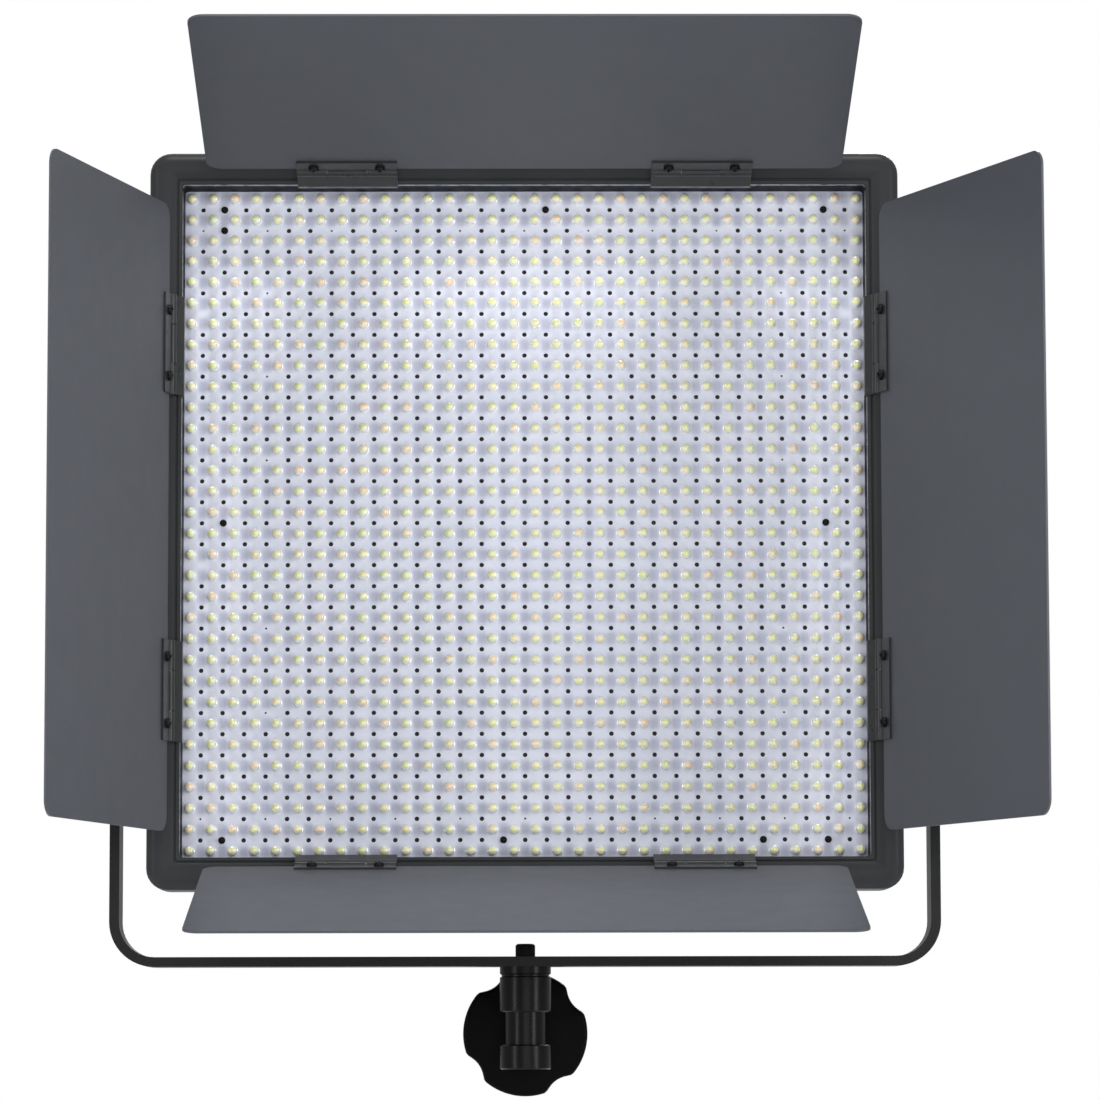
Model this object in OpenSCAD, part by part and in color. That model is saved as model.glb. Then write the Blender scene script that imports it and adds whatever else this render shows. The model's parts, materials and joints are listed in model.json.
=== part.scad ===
// LED panel light with four barn doors, held in a U-shaped yoke with a stand socket.
// Origin: centre of the stand socket's mouth. +X right, +Z up, the light shines along -Y.

/* [Lamp head] */
// Width of the head across the front bezel
head_w = 382; // [376:1:396]
// Height of the head across the front bezel
head_h = 376; // [370:1:388]
// Height of the head's centre, and of the tilt axis, above the socket mouth
head_z = 278; // [274:1:300]
// Radius of the bezel's outer corners
corner_r = 11; // [10:1:18]
// Depth of the head from the bezel's front to the rear cover
head_depth = 61; // [56:1:66]
// Distance from the bezel's front back to the tilt axis
axis_depth = 37; // [34:1:40]
// Width of the window in front of the emitters
window_w = 348.4; // [346:0.2:350]
// Height of the window in front of the emitters
window_h = 343; // [340:0.5:346]
// Depth of the emitter board below the window's lip
window_depth = 21.8; // [18:0.2:24]

/* [Emitters] */
// Number of emitters along each side of the board
led_count = 32; // [8:4:32]
// Spacing of the emitters across the board
led_pitch_x = 11; // [10.5:0.1:11]
// Spacing of the emitters up the board
led_pitch_z = 10.8; // [10.4:0.1:10.8]
// Diameter of one emitter's lens
led_d = 5; // [3:0.5:6]
// Height of one emitter above the board
led_h = 5.2; // [3:0.1:7]

/* [Barn doors] */
// Length of every door from its hinge axis to its free edge
door_l = 172; // [150:1:173]
// Width of the top and bottom doors
wide_door_w = 322; // [300:1:326]
// Width of the left and right doors
side_door_w = 318; // [300:1:320]
// Sheet thickness of the doors
sheet_t = 1.2; // [0.8:0.1:1.4]
// Length of each hinge
hinge_l = 51; // [40:1:60]
// Distance of the hinges from the middle of the top and bottom sides
wide_hinge_at = 90; // [60:1:110]
// Distance of the hinges from the middle of the left and right sides
side_hinge_at = 88; // [60:1:110]
// Angle of the top door from the bezel's plane
top_angle = 75; // [30:1:120]
// Angle of the bottom door from the bezel's plane
bottom_angle = 77.5; // [30:0.5:120]
// Angle of the left door from the bezel's plane
left_angle = 74.5; // [30:0.5:120]
// Angle of the right door from the bezel's plane
right_angle = 67; // [30:1:120]

/* [Yoke and stand socket] */
// Outer width of the yoke
yoke_w = 422; // [418:1:440]
// Width of the yoke's flat bar
bar_w = 25; // [20:1:30]
// Thickness of the yoke's flat bar
bar_t = 5; // [4:0.5:6]
// Outer radius of the yoke's bends
bend_r = 23; // [15:1:30]
// Length of the stand socket below the yoke
socket_h = 52; // [48:1:60]
// Outer diameter of the stand socket
socket_d = 26; // [25:1:30]
// Bore of the stand socket, for a 16 mm spigot
socket_bore_d = 16.2; // [16.1:0.1:16.4]
// Depth of the socket's bore
socket_depth = 42; // [36:1:44]
// Largest radius of the socket's clamp knob
clamp_knob_r = 32; // [25:1:34]

/* [Hidden] */
$fn = 64;

// Places along Y: the tilt axis is at 0, the front is negative
front_y = -axis_depth;
back_y = front_y + head_depth;
lip_fall = 2.2;
bezel_depth = 31;
lip_y = front_y + lip_fall;
board_y = lip_y + window_depth;
split_y = front_y + bezel_depth;
board_t = 1.6;
plate_t = 3;
cover_wall = 2;
cover_inset = 3;
cover_w = head_w - 2 * cover_inset;
cover_h = head_h - 2 * cover_inset;
edge_round = 6;
ledge_w = 4;
ledge_h = 4.5;
board_gap = 1;
pocket_w = window_w + 2 * ledge_w;
pocket_h = window_h + 2 * ledge_h;
board_w = pocket_w - 2 * board_gap;
board_h = pocket_h - 2 * board_gap;
ring_w = 9.5;

// Screws through the emitter board, as hole numbers from its top left corner
board_screw_at = [[1, 0], [1, 1], [16, 0], [29, 0], [1, 15], [29, 15], [1, 30], [14, 30], [26, 30], [29, 30]];
board_screw_r = 1.5;
screw_head_r = 1.8;
screw_head_h = 1.6;

// Hinges
pin_r = 1.2;
knuckle_r = 2.6;
knuckle_gap_r = 3.2;
centre_knuckle_l = 20;
base_t = 1.2;
hook_l = 5;
hinge_plate_l = 11.8;
hinge_plate_t = 1;
rivet_at = 16.8;
rivet_u = 6.3;
rivet_r = 1.5;
rivet_head_r = 2.6;
rivet_head_h = 1.8;
rivet_tail_h = 0.8;
door_corner_r = 8;

// Hinge axes, as the distance from the head's centre and the place along Y
wide_axis = [window_h / 2 + 4.5, lip_y - 11.7];
side_axis = [window_w / 2 + 4.8, lip_y - 7.2];

// Yoke and tilt joint
arm_in = yoke_w / 2 - bar_t;
tilt_screw_r = 4;
fit_gap = 0.05;
boss_r = 12;
boss_room = 0.3;
washer_t = 1.3;
knob_r = 19;
knob_face = yoke_w / 2 + 1.5;
knob_l = 23;
tilt_screw_end = knob_face + 17;
clamp_z = 18.2;
clamp_grip_y = 27;
clamp_grip_l = 17;
clamp_screw_end = 40;
hub_r = 10;
socket_waist_r = 10.2;
valley_r = 28.7;
scallop_r = 13;
valley_angle = 34;

// Ventilation slots and screws of the rear cover
vent_x = 120;
vent_w = 48;
vent_t = 3;
vent_pitch = 9;
vent_z = head_z - 60;
rear_screw_r = 1.5;
rear_screw_at = [for (x = [-1, 0, 1], z = [-1, 1]) [x * 160, head_z + z * 160]];

// Rear controls
panel_z = head_z + 95;
panel_w = 176;
panel_h = 60;
panel_t = 1.6;
dial_x = 62;
dial_r = 11;
dial_l = 12;
spindle_r = 3;
button_z = panel_z - 20;
button_r = 3.8;
button_step = 14;
display_w = 60;
display_h = 26;
display_z = panel_z + 8;
control_board_y = back_y - 8;
switch_x = 120;
switch_w = 21;
switch_h = 14;
socket_x = -120;
control_board_t = 1.6;
plate_z = head_z - 55;
battery_w = 84;
battery_h = 120;
battery_t = 10;
latch_w = 10;
latch_h = 22;

module round_rect(w, h, r) {
    square([w - 2 * r, h], center = true);
    square([w, h - 2 * r], center = true);
    for (x = [-1, 1], y = [-1, 1])
        translate([x * (w / 2 - r), y * (h / 2 - r)]) circle(r);
}

// A flat outline in X and Z, made solid from y0 back to y1
module slab(y0, y1) {
    translate([0, y1, 0]) rotate([90, 0, 0]) linear_extrude(y1 - y0) children();
}

module y_cylinder(r, y0, y1, x = 0, z = 0) {
    translate([x, y0, z]) rotate([-90, 0, 0]) cylinder(r = r, h = y1 - y0);
}

module x_cylinder(r, x0, x1, y = 0, z = 0) {
    translate([x0, y, z]) rotate([0, 90, 0]) cylinder(r = r, h = x1 - x0);
}

// The outline is drawn as (outward, forward) and made solid along X
module along_x(length) {
    rotate([0, -90, 180]) linear_extrude(length, center = true) children();
}

// Quarter section of a rounded tray: r outward from the corner's centre, y back from its face
module tray_edge(r, depth, rounding, inner = 0) {
    translate([inner, 0]) square([r - rounding - inner, depth]);
    translate([inner, rounding]) square([r - inner, depth - rounding]);
    translate([r - rounding, rounding]) circle(rounding);
}

// A solid block with rounded corners and one rounded face, centred, from z = 0 up
module tray_block(w, h, depth, r, rounding) {
    for (x = [0, 1], y = [0, 1])
        mirror([x, 0, 0]) mirror([0, y, 0]) translate([w / 2 - r, h / 2 - r, 0])
            rotate_extrude(angle = 90) intersection() {
                tray_edge(r, depth, rounding);
                square([r, depth]);
            }
    for (side = [0, 1]) {
        mirror([side, 0, 0]) translate([w / 2 - r, h / 2 - r, 0]) rotate([90, 0, 0])
            linear_extrude(h - 2 * r) tray_edge(r, depth, rounding);
        mirror([0, side, 0]) translate([-w / 2 + r, h / 2 - r, 0]) rotate([90, 0, 90])
            linear_extrude(w - 2 * r) tray_edge(r, depth, rounding);
    }
    translate([-w / 2 + r, -h / 2 + r, 0]) cube([w - 2 * r, h - 2 * r, depth]);
}

// The flare that widens the window from the lip out to the bezel's ring
module window_flare() {
    over = 1;
    slope_w = head_w / 2 - ring_w - window_w / 2;
    slope_h = head_h / 2 - ring_w - window_h / 2;
    grow = over / lip_fall;
    intersection() {
        translate([0, 0, -head_h]) linear_extrude(2 * head_h) polygon([
            [-window_w / 2, lip_y], [window_w / 2, lip_y],
            [window_w / 2 + slope_w * (1 + grow), front_y - over],
            [-window_w / 2 - slope_w * (1 + grow), front_y - over]
        ]);
        rotate([0, 0, 180]) along_x(2 * head_w) polygon([
            [-window_h / 2, lip_y], [window_h / 2, lip_y],
            [window_h / 2 + slope_h * (1 + grow), front_y - over],
            [-window_h / 2 - slope_h * (1 + grow), front_y - over]
        ]);
    }
}

module front_bezel() {
    color("#3a3c3f") translate([0, 0, head_z]) difference() {
        translate([0, front_y, 0]) rotate([-90, 0, 0])
            tray_block(head_w, head_h, split_y - front_y, corner_r, edge_round);
        slab(front_y - 1, split_y + 1) square([window_w, window_h], center = true);
        window_flare();
        slab(board_y, split_y + 1) square([pocket_w, pocket_h], center = true);
        boss_notches();
    }
}

// Room for the tilt bosses in the sides of the bezel and the rear cover, about the head's centre
module boss_notches() {
    for (side = [0, 1]) mirror([side, 0, 0])
        x_cylinder(boss_r + boss_room, pocket_w / 2 - 1, head_w / 2 + 1);
}

function hole_x(i) = (i - (led_count - 2) / 2) * led_pitch_x;
function hole_z(j) = head_z - (j - (led_count - 2) / 2) * led_pitch_z;

module led_board() {
    color("#e4e4f0") difference() {
        translate([0, 0, head_z]) slab(board_y, board_y + board_t) square([board_w, board_h], center = true);
        for (at = board_screw_at)
            y_cylinder(board_screw_r + fit_gap, board_y - 1, board_y + board_t + 1,
                hole_x(at[0]), hole_z(at[1]));
    }
}

module led_emitters() {
    middle = (led_count - 1) / 2;
    color("#e9d9a0") for (i = [0:led_count - 1], j = [0:led_count - 1])
        y_cylinder(led_d / 2, board_y - led_h, board_y, (i - middle) * led_pitch_x,
            head_z + (j - middle) * led_pitch_z, $fn = 16);
}

module board_screws() {
    tip_y = board_y + board_t + plate_t;
    color("#141414") for (at = board_screw_at) {
        y_cylinder(screw_head_r, board_y - screw_head_h, board_y, hole_x(at[0]), hole_z(at[1]));
        y_cylinder(board_screw_r, board_y - 1, tip_y, hole_x(at[0]), hole_z(at[1]));
    }
}

module heat_sink() {
    plate_y = board_y + board_t;
    fin_h = 260;
    fin_pitch = 15;
    fin_t = 2;
    fin_l = 13;
    fins_each_side = 10;
    color("#b9bcc0") difference() {
        union() {
            translate([0, 0, head_z]) slab(plate_y, plate_y + plate_t)
                square([board_w, board_h], center = true);
            for (i = [-fins_each_side:fins_each_side])
                translate([i * fin_pitch - fin_t / 2, plate_y, head_z - fin_h / 2])
                    cube([fin_t, fin_l, fin_h]);
        }
        for (at = board_screw_at)
            y_cylinder(board_screw_r + fit_gap, plate_y - 1, plate_y + plate_t + 1,
                hole_x(at[0]), hole_z(at[1]));
    }
}

driver_y = board_y + board_t + 15;
driver_z = head_z - 55;
driver_w = 150;
driver_h = 100;

module driver_board() {
    color("#1f5f3a") translate([-driver_w / 2, driver_y, driver_z - driver_h / 2])
        cube([driver_w, board_t, driver_h]);
}

module driver_parts() {
    part_y = driver_y + board_t;
    color("#202326") {
        for (x = [-55, -35, 35, 55]) y_cylinder(6, part_y, part_y + 12, x, driver_z + 30);
        for (x = [-30, 30]) translate([x - 11, part_y, driver_z - 15]) cube([22, 11, 22]);
        for (x = [-60, -20, 20, 60]) translate([x - 7, part_y, driver_z - 44]) cube([14, 9, 10]);
    }
}

module rear_cover() {
    depth = back_y - split_y;
    color("#2f3134") difference() {
        translate([0, back_y, head_z]) rotate([90, 0, 0])
            tray_block(cover_w, cover_h, depth, corner_r - cover_inset + 1, edge_round);
        translate([0, 0, head_z]) slab(split_y - 1, back_y - cover_wall)
            square([cover_w - 16, cover_h - 16], center = true);
        translate([0, 0, head_z]) slab(split_y - 1, back_y - edge_round)
            square([cover_w - 2 * cover_wall, cover_h - 28], center = true);
        translate([0, 0, head_z]) boss_notches();
        translate([0, 0, panel_z]) slab(back_y - 5, back_y + 1)
            square([panel_w - 14, panel_h - 10], center = true);
        translate([switch_x, 0, panel_z]) slab(back_y - 5, back_y + 1)
            square([switch_w, switch_h], center = true);
        y_cylinder(6.05, back_y - 5, back_y + 1, socket_x, panel_z);
        for (side = [-1, 1], i = [-6:6])
            translate([side * vent_x - vent_w / 2, back_y - 5, vent_z + i * vent_pitch])
                cube([vent_w, 7, vent_t]);
        for (at = rear_screw_at)
            y_cylinder(rear_screw_r + 0.1, back_y - 5, back_y + 1, at[0], at[1]);
    }
}

module rear_screws() {
    color("#17181a") for (at = rear_screw_at) {
        y_cylinder(3, back_y, back_y + 1.8, at[0], at[1]);
        y_cylinder(rear_screw_r, back_y - 12, back_y + 1, at[0], at[1]);
    }
}

// Steel rails inside the sides, with the bosses that the head hangs on
module side_rails() {
    rail_t = 3;
    rail_h = 120;
    rail_x = cover_w / 2 - cover_wall - rail_t;
    color("#8d9094") for (side = [0, 1]) mirror([side, 0, 0]) difference() {
        union() {
            translate([rail_x, split_y + 1, head_z - rail_h / 2])
                cube([rail_t, back_y - edge_round - split_y - 2, rail_h]);
            x_cylinder(boss_r, rail_x + 1, arm_in - washer_t - 0.1, 0, head_z);
        }
        x_cylinder(tilt_screw_r + fit_gap, rail_x - 1, arm_in, 0, head_z);
    }
}

module control_panel() {
    color("#1c1d1f") difference() {
        translate([0, 0, panel_z]) slab(back_y, back_y + panel_t) round_rect(panel_w, panel_h, 5);
        translate([0, 0, display_z]) slab(back_y - 1, back_y + panel_t + 1)
            square([display_w, display_h], center = true);
        for (side = [-1, 1])
            y_cylinder(spindle_r + fit_gap, back_y - 1, back_y + panel_t + 1, side * dial_x, panel_z);
        for (i = [0:3])
            y_cylinder(button_r + 0.2, back_y - 1, back_y + panel_t + 1, button_x(i), button_z);
    }
}

function button_x(i) = (i - 1.5) * button_step;

module control_board() {
    margin = [10, 7];
    color("#1f5f3a") translate([-panel_w / 2 + margin[0], control_board_y, panel_z - panel_h / 2 + margin[1]])
        cube([panel_w - 2 * margin[0], control_board_t, panel_h - 2 * margin[1]]);
}

module display_module() {
    color("#30343a") translate([0, 0, display_z])
        slab(control_board_y + control_board_t, back_y - 0.3)
            square([display_w + 6, display_h + 2], center = true);
}

module display_window() {
    color("#7f9a8c", 0.6) translate([0, 0, display_z])
        slab(back_y - 0.2, back_y + panel_t + 0.4) square([display_w - 0.2, display_h - 0.2], center = true);
}

module dial_encoders() {
    color("#9a9da0") for (side = [-1, 1]) difference() {
        translate([side * dial_x - 6, control_board_y + control_board_t, panel_z - 6]) cube([12, 5.4, 12]);
        y_cylinder(spindle_r + fit_gap, control_board_y, back_y + 1, side * dial_x, panel_z);
    }
}

module dial(x) {
    face_y = back_y + panel_t + 0.4;
    color("#17181a") {
        difference() {
            y_cylinder(dial_r, face_y, face_y + dial_l, x, panel_z);
            for (a = [0:20:359])
                y_cylinder(0.9, face_y + 2, face_y + dial_l + 1, x + (dial_r + 0.3) * cos(a),
                    panel_z + (dial_r + 0.3) * sin(a));
        }
        y_cylinder(spindle_r, control_board_y + 3, face_y + 1, x, panel_z);
    }
}

module brightness_dial() {
    dial(-dial_x);
}

module colour_dial() {
    dial(dial_x);
}

module push_button(i) {
    color("#3b3d40") y_cylinder(button_r, back_y - 2, back_y + panel_t + 1.8, button_x(i), button_z);
}

module menu_button() {
    push_button(0);
}

module mode_button() {
    push_button(1);
}

module down_button() {
    push_button(2);
}

module up_button() {
    push_button(3);
}

module power_switch_frame() {
    color("#151617") translate([switch_x, 0, panel_z]) difference() {
        union() {
            slab(back_y, back_y + 1.6) round_rect(switch_w + 5, switch_h + 5, 2);
            slab(back_y - 11, back_y) square([switch_w - 0.4, switch_h - 0.4], center = true);
        }
        slab(back_y - 9.5, back_y + 2) square([switch_w - 3, switch_h - 3], center = true);
    }
}

rocker_w = switch_w - 5.6;
rocker_tilt = 8;
rocker_axis_y = back_y - 3;

module power_rocker() {
    half = rocker_w / 2;
    rocker_h = switch_h - 4;
    pivot_r = 1.4;
    pivot_h = rocker_h + 0.6;
    color("#1b1c1e") translate([switch_x, rocker_axis_y, panel_z]) rotate([0, 0, -rocker_tilt]) {
        translate([0, 0, -rocker_h / 2]) linear_extrude(rocker_h) polygon([
            [-half, -1], [-half, 5.8], [0, 4.6], [half, 5.8], [half, -1], [0, -4]
        ]);
        translate([0, 0, -pivot_h / 2]) cylinder(r = pivot_r, h = pivot_h);
    }
}

module dc_socket() {
    color("#101112") difference() {
        union() {
            y_cylinder(6, back_y - 12, back_y, socket_x, panel_z);
            y_cylinder(8, back_y, back_y + 2, socket_x, panel_z);
        }
        difference() {
            y_cylinder(2.9, back_y - 9, back_y + 3, socket_x, panel_z);
            y_cylinder(1, back_y - 10, back_y + 1, socket_x, panel_z);
        }
    }
}

// Outline of the wedge that a battery drops into, open at the plate's top
module wedge(grow) {
    top = [24 + grow, battery_h / 2 + 1];
    foot = [13 + grow, -18];
    polygon([[-top[0], top[1]], top, foot, [-foot[0], foot[1]]]);
}

module battery_plate() {
    color("#1d1e20") difference() {
        translate([0, 0, plate_z]) slab(back_y, back_y + battery_t) round_rect(battery_w, battery_h, 6);
        translate([0, 0, plate_z]) slab(back_y + 3, back_y + battery_t - 3) wedge(2.5);
        translate([0, 0, plate_z]) slab(back_y + 5, back_y + battery_t + 1) wedge(0);
        translate([battery_w / 2 - latch_w + 0.01, back_y + 3, plate_z - 46])
            cube([latch_w + 1, battery_t - 5, latch_h]);
    }
}

module battery_contacts() {
    color("#c9a85a") for (i = [0:3])
        translate([-8 + i * 4.8, back_y + 3, plate_z - 16]) cube([1.6, 3.4, 8]);
}

module battery_latch() {
    color("#3b3d40") translate([battery_w / 2 - latch_w + 4.3, back_y + 3.3, plate_z - 45.7])
        cube([latch_w - 0.6, battery_t - 5.6, latch_h - 0.6]);
}

// Hinges and doors are drawn at the top of the head and turned about Y to their own side
module on_side(turn) {
    translate([0, 0, head_z]) rotate([0, turn, 0]) children();
}

module at_hinges(at) {
    for (x = [-at, at]) translate([x, 0, 0]) children();
}

// The base hooks over the window's lip and reaches out to the hinge axis
module hinge_base(window_half, axis) {
    hook_top = [-base_t / 2, 0.3];
    hinge_at = [axis[0] - window_half, lip_y - axis[1]];
    reach = (hinge_at - hook_top) / norm(hinge_at - hook_top);
    half = [-reach[1], reach[0]] * base_t / 2;
    centre_gap = centre_knuckle_l / 2 + 0.3;
    difference() {
        union() {
            difference() {
                translate([0, lip_y, window_half]) along_x(hinge_l) {
                    translate([-base_t, -hook_l]) square([base_t, hook_l + 0.3]);
                    polygon([hook_top + half, hinge_at + half, hinge_at - half, hook_top - half]);
                }
                x_cylinder(knuckle_gap_r, -centre_gap, centre_gap, axis[1], axis[0]);
            }
            for (side = [0, 1]) mirror([side, 0, 0])
                x_cylinder(knuckle_r, centre_gap, hinge_l / 2, axis[1], axis[0]);
        }
        x_cylinder(pin_r + 0.02, -hinge_l, hinge_l, axis[1], axis[0]);
    }
}

module hinge_bases(turn, at, window_half, axis) {
    color("#2b2d30") on_side(turn) at_hinges(at) hinge_base(window_half, axis);
}

module hinge_pins(turn, at, axis) {
    color("#85888c") on_side(turn) at_hinges(at)
        x_cylinder(pin_r, -hinge_l / 2, hinge_l / 2, axis[1], axis[0]);
}

// Inside this frame Y runs along the door from the hinge axis and Z points into the beam
module door_frame(turn, axis, angle) {
    on_side(turn) translate([0, axis[1], axis[0]]) rotate([90 + angle, 0, 0]) children();
}

module hinge_plates(turn, at, axis, angle) {
    color("#2b2d30") door_frame(turn, axis, angle) at_hinges(at) difference() {
        union() {
            translate([-hinge_l / 2, knuckle_gap_r, 0])
                cube([hinge_l, hinge_plate_l - knuckle_gap_r, hinge_plate_t]);
            translate([-centre_knuckle_l / 2, 0, 0])
                cube([centre_knuckle_l, knuckle_gap_r + 1, hinge_plate_t]);
            x_cylinder(knuckle_r, -centre_knuckle_l / 2, centre_knuckle_l / 2);
        }
        x_cylinder(pin_r + fit_gap, -hinge_l, hinge_l);
        for (x = [-rivet_at, rivet_at])
            translate([x, rivet_u, -1]) cylinder(r = rivet_r + fit_gap, h = 4);
    }
}

module door_leaf(turn, at, axis, angle, width) {
    color("#4b4e53") door_frame(turn, axis, angle) difference() {
        translate([0, (door_l + knuckle_gap_r) / 2, -sheet_t]) linear_extrude(sheet_t)
            round_rect(width, door_l - knuckle_gap_r, door_corner_r);
        at_hinges(at) for (x = [-rivet_at, rivet_at])
            translate([x, rivet_u, -3]) cylinder(r = rivet_r + fit_gap, h = 4);
    }
}

module door_rivets(turn, at, axis, angle) {
    color("#111213") door_frame(turn, axis, angle) at_hinges(at) for (x = [-rivet_at, rivet_at])
        translate([x, rivet_u, 0]) {
            translate([0, 0, hinge_plate_t]) cylinder(r = rivet_head_r, h = rivet_head_h);
            translate([0, 0, -sheet_t - rivet_tail_h]) {
                cylinder(r = rivet_r, h = sheet_t + hinge_plate_t + 1);
                cylinder(r = rivet_head_r, h = rivet_tail_h);
            }
        }
}

module yoke_outline(w, bottom_z, r) {
    bend_z = socket_h + bend_r;
    translate([-w / 2, bend_z]) square([w, head_z - bend_z]);
    translate([-w / 2 + r, bottom_z]) square([w - 2 * r, bend_z - bottom_z]);
    for (side = [-1, 1]) translate([side * (w / 2 - r), bend_z]) circle(r);
}

module yoke_bracket() {
    color("#34363a") difference() {
        union() {
            slab(-bar_w / 2, bar_w / 2) difference() {
                yoke_outline(yoke_w, socket_h, bend_r);
                translate([0, 0.001]) yoke_outline(yoke_w - 2 * bar_t, socket_h + bar_t, bend_r - bar_t);
            }
            for (x = [-yoke_w / 2, arm_in])
                x_cylinder(bar_w / 2, x, x + bar_t, 0, head_z);
        }
        for (x = [-yoke_w / 2, arm_in])
            x_cylinder(tilt_screw_r + fit_gap, x - 1, x + bar_t + 1, 0, head_z);
        translate([0, 0, socket_h - 1]) cylinder(r = 3.05, h = bar_t + 2);
    }
}

module stand_socket() {
    r = socket_d / 2;
    waist_low = 12.5;
    waist_high = socket_h - 23;
    chamfer = 0.6;
    groove_z = socket_h - 5;
    groove_t = 0.9;
    boss_y = 21;
    boss_r = 9;
    color("#1a1b1d") difference() {
        union() {
            rotate_extrude() polygon([
                [0, 0], [r - chamfer, 0], [r, chamfer], [r, waist_low - chamfer],
                [r - chamfer, waist_low], [socket_waist_r, waist_low], [socket_waist_r, waist_high],
                [r - chamfer, waist_high], [r, waist_high + chamfer],
                [r, groove_z - 0.5], [r - groove_t, groove_z], [r - groove_t, groove_z + groove_t],
                [r, groove_z + groove_t + 0.5], [r, socket_h], [0, socket_h]
            ]);
            y_cylinder(boss_r, 2, boss_y, 0, clamp_z);
        }
        translate([0, 0, -1]) cylinder(d = socket_bore_d, h = socket_depth + 1);
        translate([0, 0, socket_depth - 1]) cylinder(r = 3.02, h = socket_h - socket_depth + 2);
        y_cylinder(tilt_screw_r + fit_gap, 0, 25, 0, clamp_z);
    }
}

module socket_screw() {
    top = socket_h + bar_t;
    cap_h = 6.6;
    recess = 3.2;
    color("#121314") difference() {
        union() {
            translate([0, 0, top]) cylinder(r = 5, h = cap_h);
            translate([0, 0, socket_depth + 0.5]) cylinder(r = 3, h = top - socket_depth);
        }
        translate([0, 0, top + cap_h - recess]) cylinder(r = 2.9, h = cap_h, $fn = 6);
    }
}

module clamp_pad() {
    color("#b08d4a")
        y_cylinder(tilt_screw_r - 0.1, socket_bore_d / 2 + 0.2, socket_bore_d / 2 + 1.4, 0, clamp_z);
}

module clamp_screw() {
    color("#8a8d91") y_cylinder(tilt_screw_r, socket_bore_d / 2 + 1.5, clamp_screw_end, 0, clamp_z);
}

module clamp_knob() {
    hub_y = 21.5;
    color("#121314") difference() {
        union() {
            y_cylinder(hub_r, hub_y, clamp_grip_y + 1, 0, clamp_z);
            translate([0, 0, clamp_z]) slab(clamp_grip_y, clamp_grip_y + clamp_grip_l) difference() {
                circle(clamp_knob_r);
                for (i = [0:3]) rotate(valley_angle + 90 * i)
                    translate([valley_r + scallop_r, 0]) circle(scallop_r);
            }
        }
        y_cylinder(tilt_screw_r, 0, clamp_screw_end, 0, clamp_z);
    }
}

module friction_washers() {
    color("#d8d6cc") for (side = [0, 1]) mirror([side, 0, 0]) difference() {
        x_cylinder(boss_r, arm_in - washer_t - 0.05, arm_in - 0.05, 0, head_z);
        x_cylinder(tilt_screw_r + fit_gap, 0, arm_in + 1, 0, head_z);
    }
}

module knob_washers() {
    color("#a4a7ab") for (side = [0, 1]) mirror([side, 0, 0]) difference() {
        x_cylinder(9, yoke_w / 2 + 0.05, knob_face - 0.05, 0, head_z);
        x_cylinder(tilt_screw_r + fit_gap, 0, knob_face + 1, 0, head_z);
    }
}

module tilt_screw(side) {
    color("#8a8d91") mirror([side, 0, 0])
        x_cylinder(tilt_screw_r, cover_w / 2 + 1, tilt_screw_end, 0, head_z);
}

module tilt_knob(side) {
    hub_l = 6;
    groove_r = 6;
    groove_at = knob_r + 3;
    color("#121314") mirror([side, 0, 0]) difference() {
        union() {
            x_cylinder(hub_r, knob_face, knob_face + hub_l + 1, 0, head_z);
            difference() {
                x_cylinder(knob_r, knob_face + hub_l, knob_face + knob_l, 0, head_z);
                for (a = [0:60:300])
                    x_cylinder(groove_r, knob_face + hub_l - 1, knob_face + knob_l + 1,
                        groove_at * sin(a), head_z + groove_at * cos(a));
            }
        }
        x_cylinder(tilt_screw_r, 0, tilt_screw_end, 0, head_z);
    }
}

module left_tilt_screw() {
    tilt_screw(1);
}

module left_tilt_knob() {
    tilt_knob(1);
}

module right_tilt_screw() {
    tilt_screw(0);
}

module right_tilt_knob() {
    tilt_knob(0);
}

module top_hinge_bases() {
    hinge_bases(0, wide_hinge_at, window_h / 2, wide_axis);
}

module bottom_hinge_bases() {
    hinge_bases(180, wide_hinge_at, window_h / 2, wide_axis);
}

module left_hinge_bases() {
    hinge_bases(270, side_hinge_at, window_w / 2, side_axis);
}

module right_hinge_bases() {
    hinge_bases(90, side_hinge_at, window_w / 2, side_axis);
}

module top_hinge_pins() {
    hinge_pins(0, wide_hinge_at, wide_axis);
}

module bottom_hinge_pins() {
    hinge_pins(180, wide_hinge_at, wide_axis);
}

module left_hinge_pins() {
    hinge_pins(270, side_hinge_at, side_axis);
}

module right_hinge_pins() {
    hinge_pins(90, side_hinge_at, side_axis);
}

module top_hinge_plates() {
    hinge_plates(0, wide_hinge_at, wide_axis, top_angle);
}

module bottom_hinge_plates() {
    hinge_plates(180, wide_hinge_at, wide_axis, bottom_angle);
}

module left_hinge_plates() {
    hinge_plates(270, side_hinge_at, side_axis, left_angle);
}

module right_hinge_plates() {
    hinge_plates(90, side_hinge_at, side_axis, right_angle);
}

module top_door() {
    door_leaf(0, wide_hinge_at, wide_axis, top_angle, wide_door_w);
}

module bottom_door() {
    door_leaf(180, wide_hinge_at, wide_axis, bottom_angle, wide_door_w);
}

module left_door() {
    door_leaf(270, side_hinge_at, side_axis, left_angle, side_door_w);
}

module right_door() {
    door_leaf(90, side_hinge_at, side_axis, right_angle, side_door_w);
}

module top_door_rivets() {
    door_rivets(0, wide_hinge_at, wide_axis, top_angle);
}

module bottom_door_rivets() {
    door_rivets(180, wide_hinge_at, wide_axis, bottom_angle);
}

module left_door_rivets() {
    door_rivets(270, side_hinge_at, side_axis, left_angle);
}

module right_door_rivets() {
    door_rivets(90, side_hinge_at, side_axis, right_angle);
}

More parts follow.
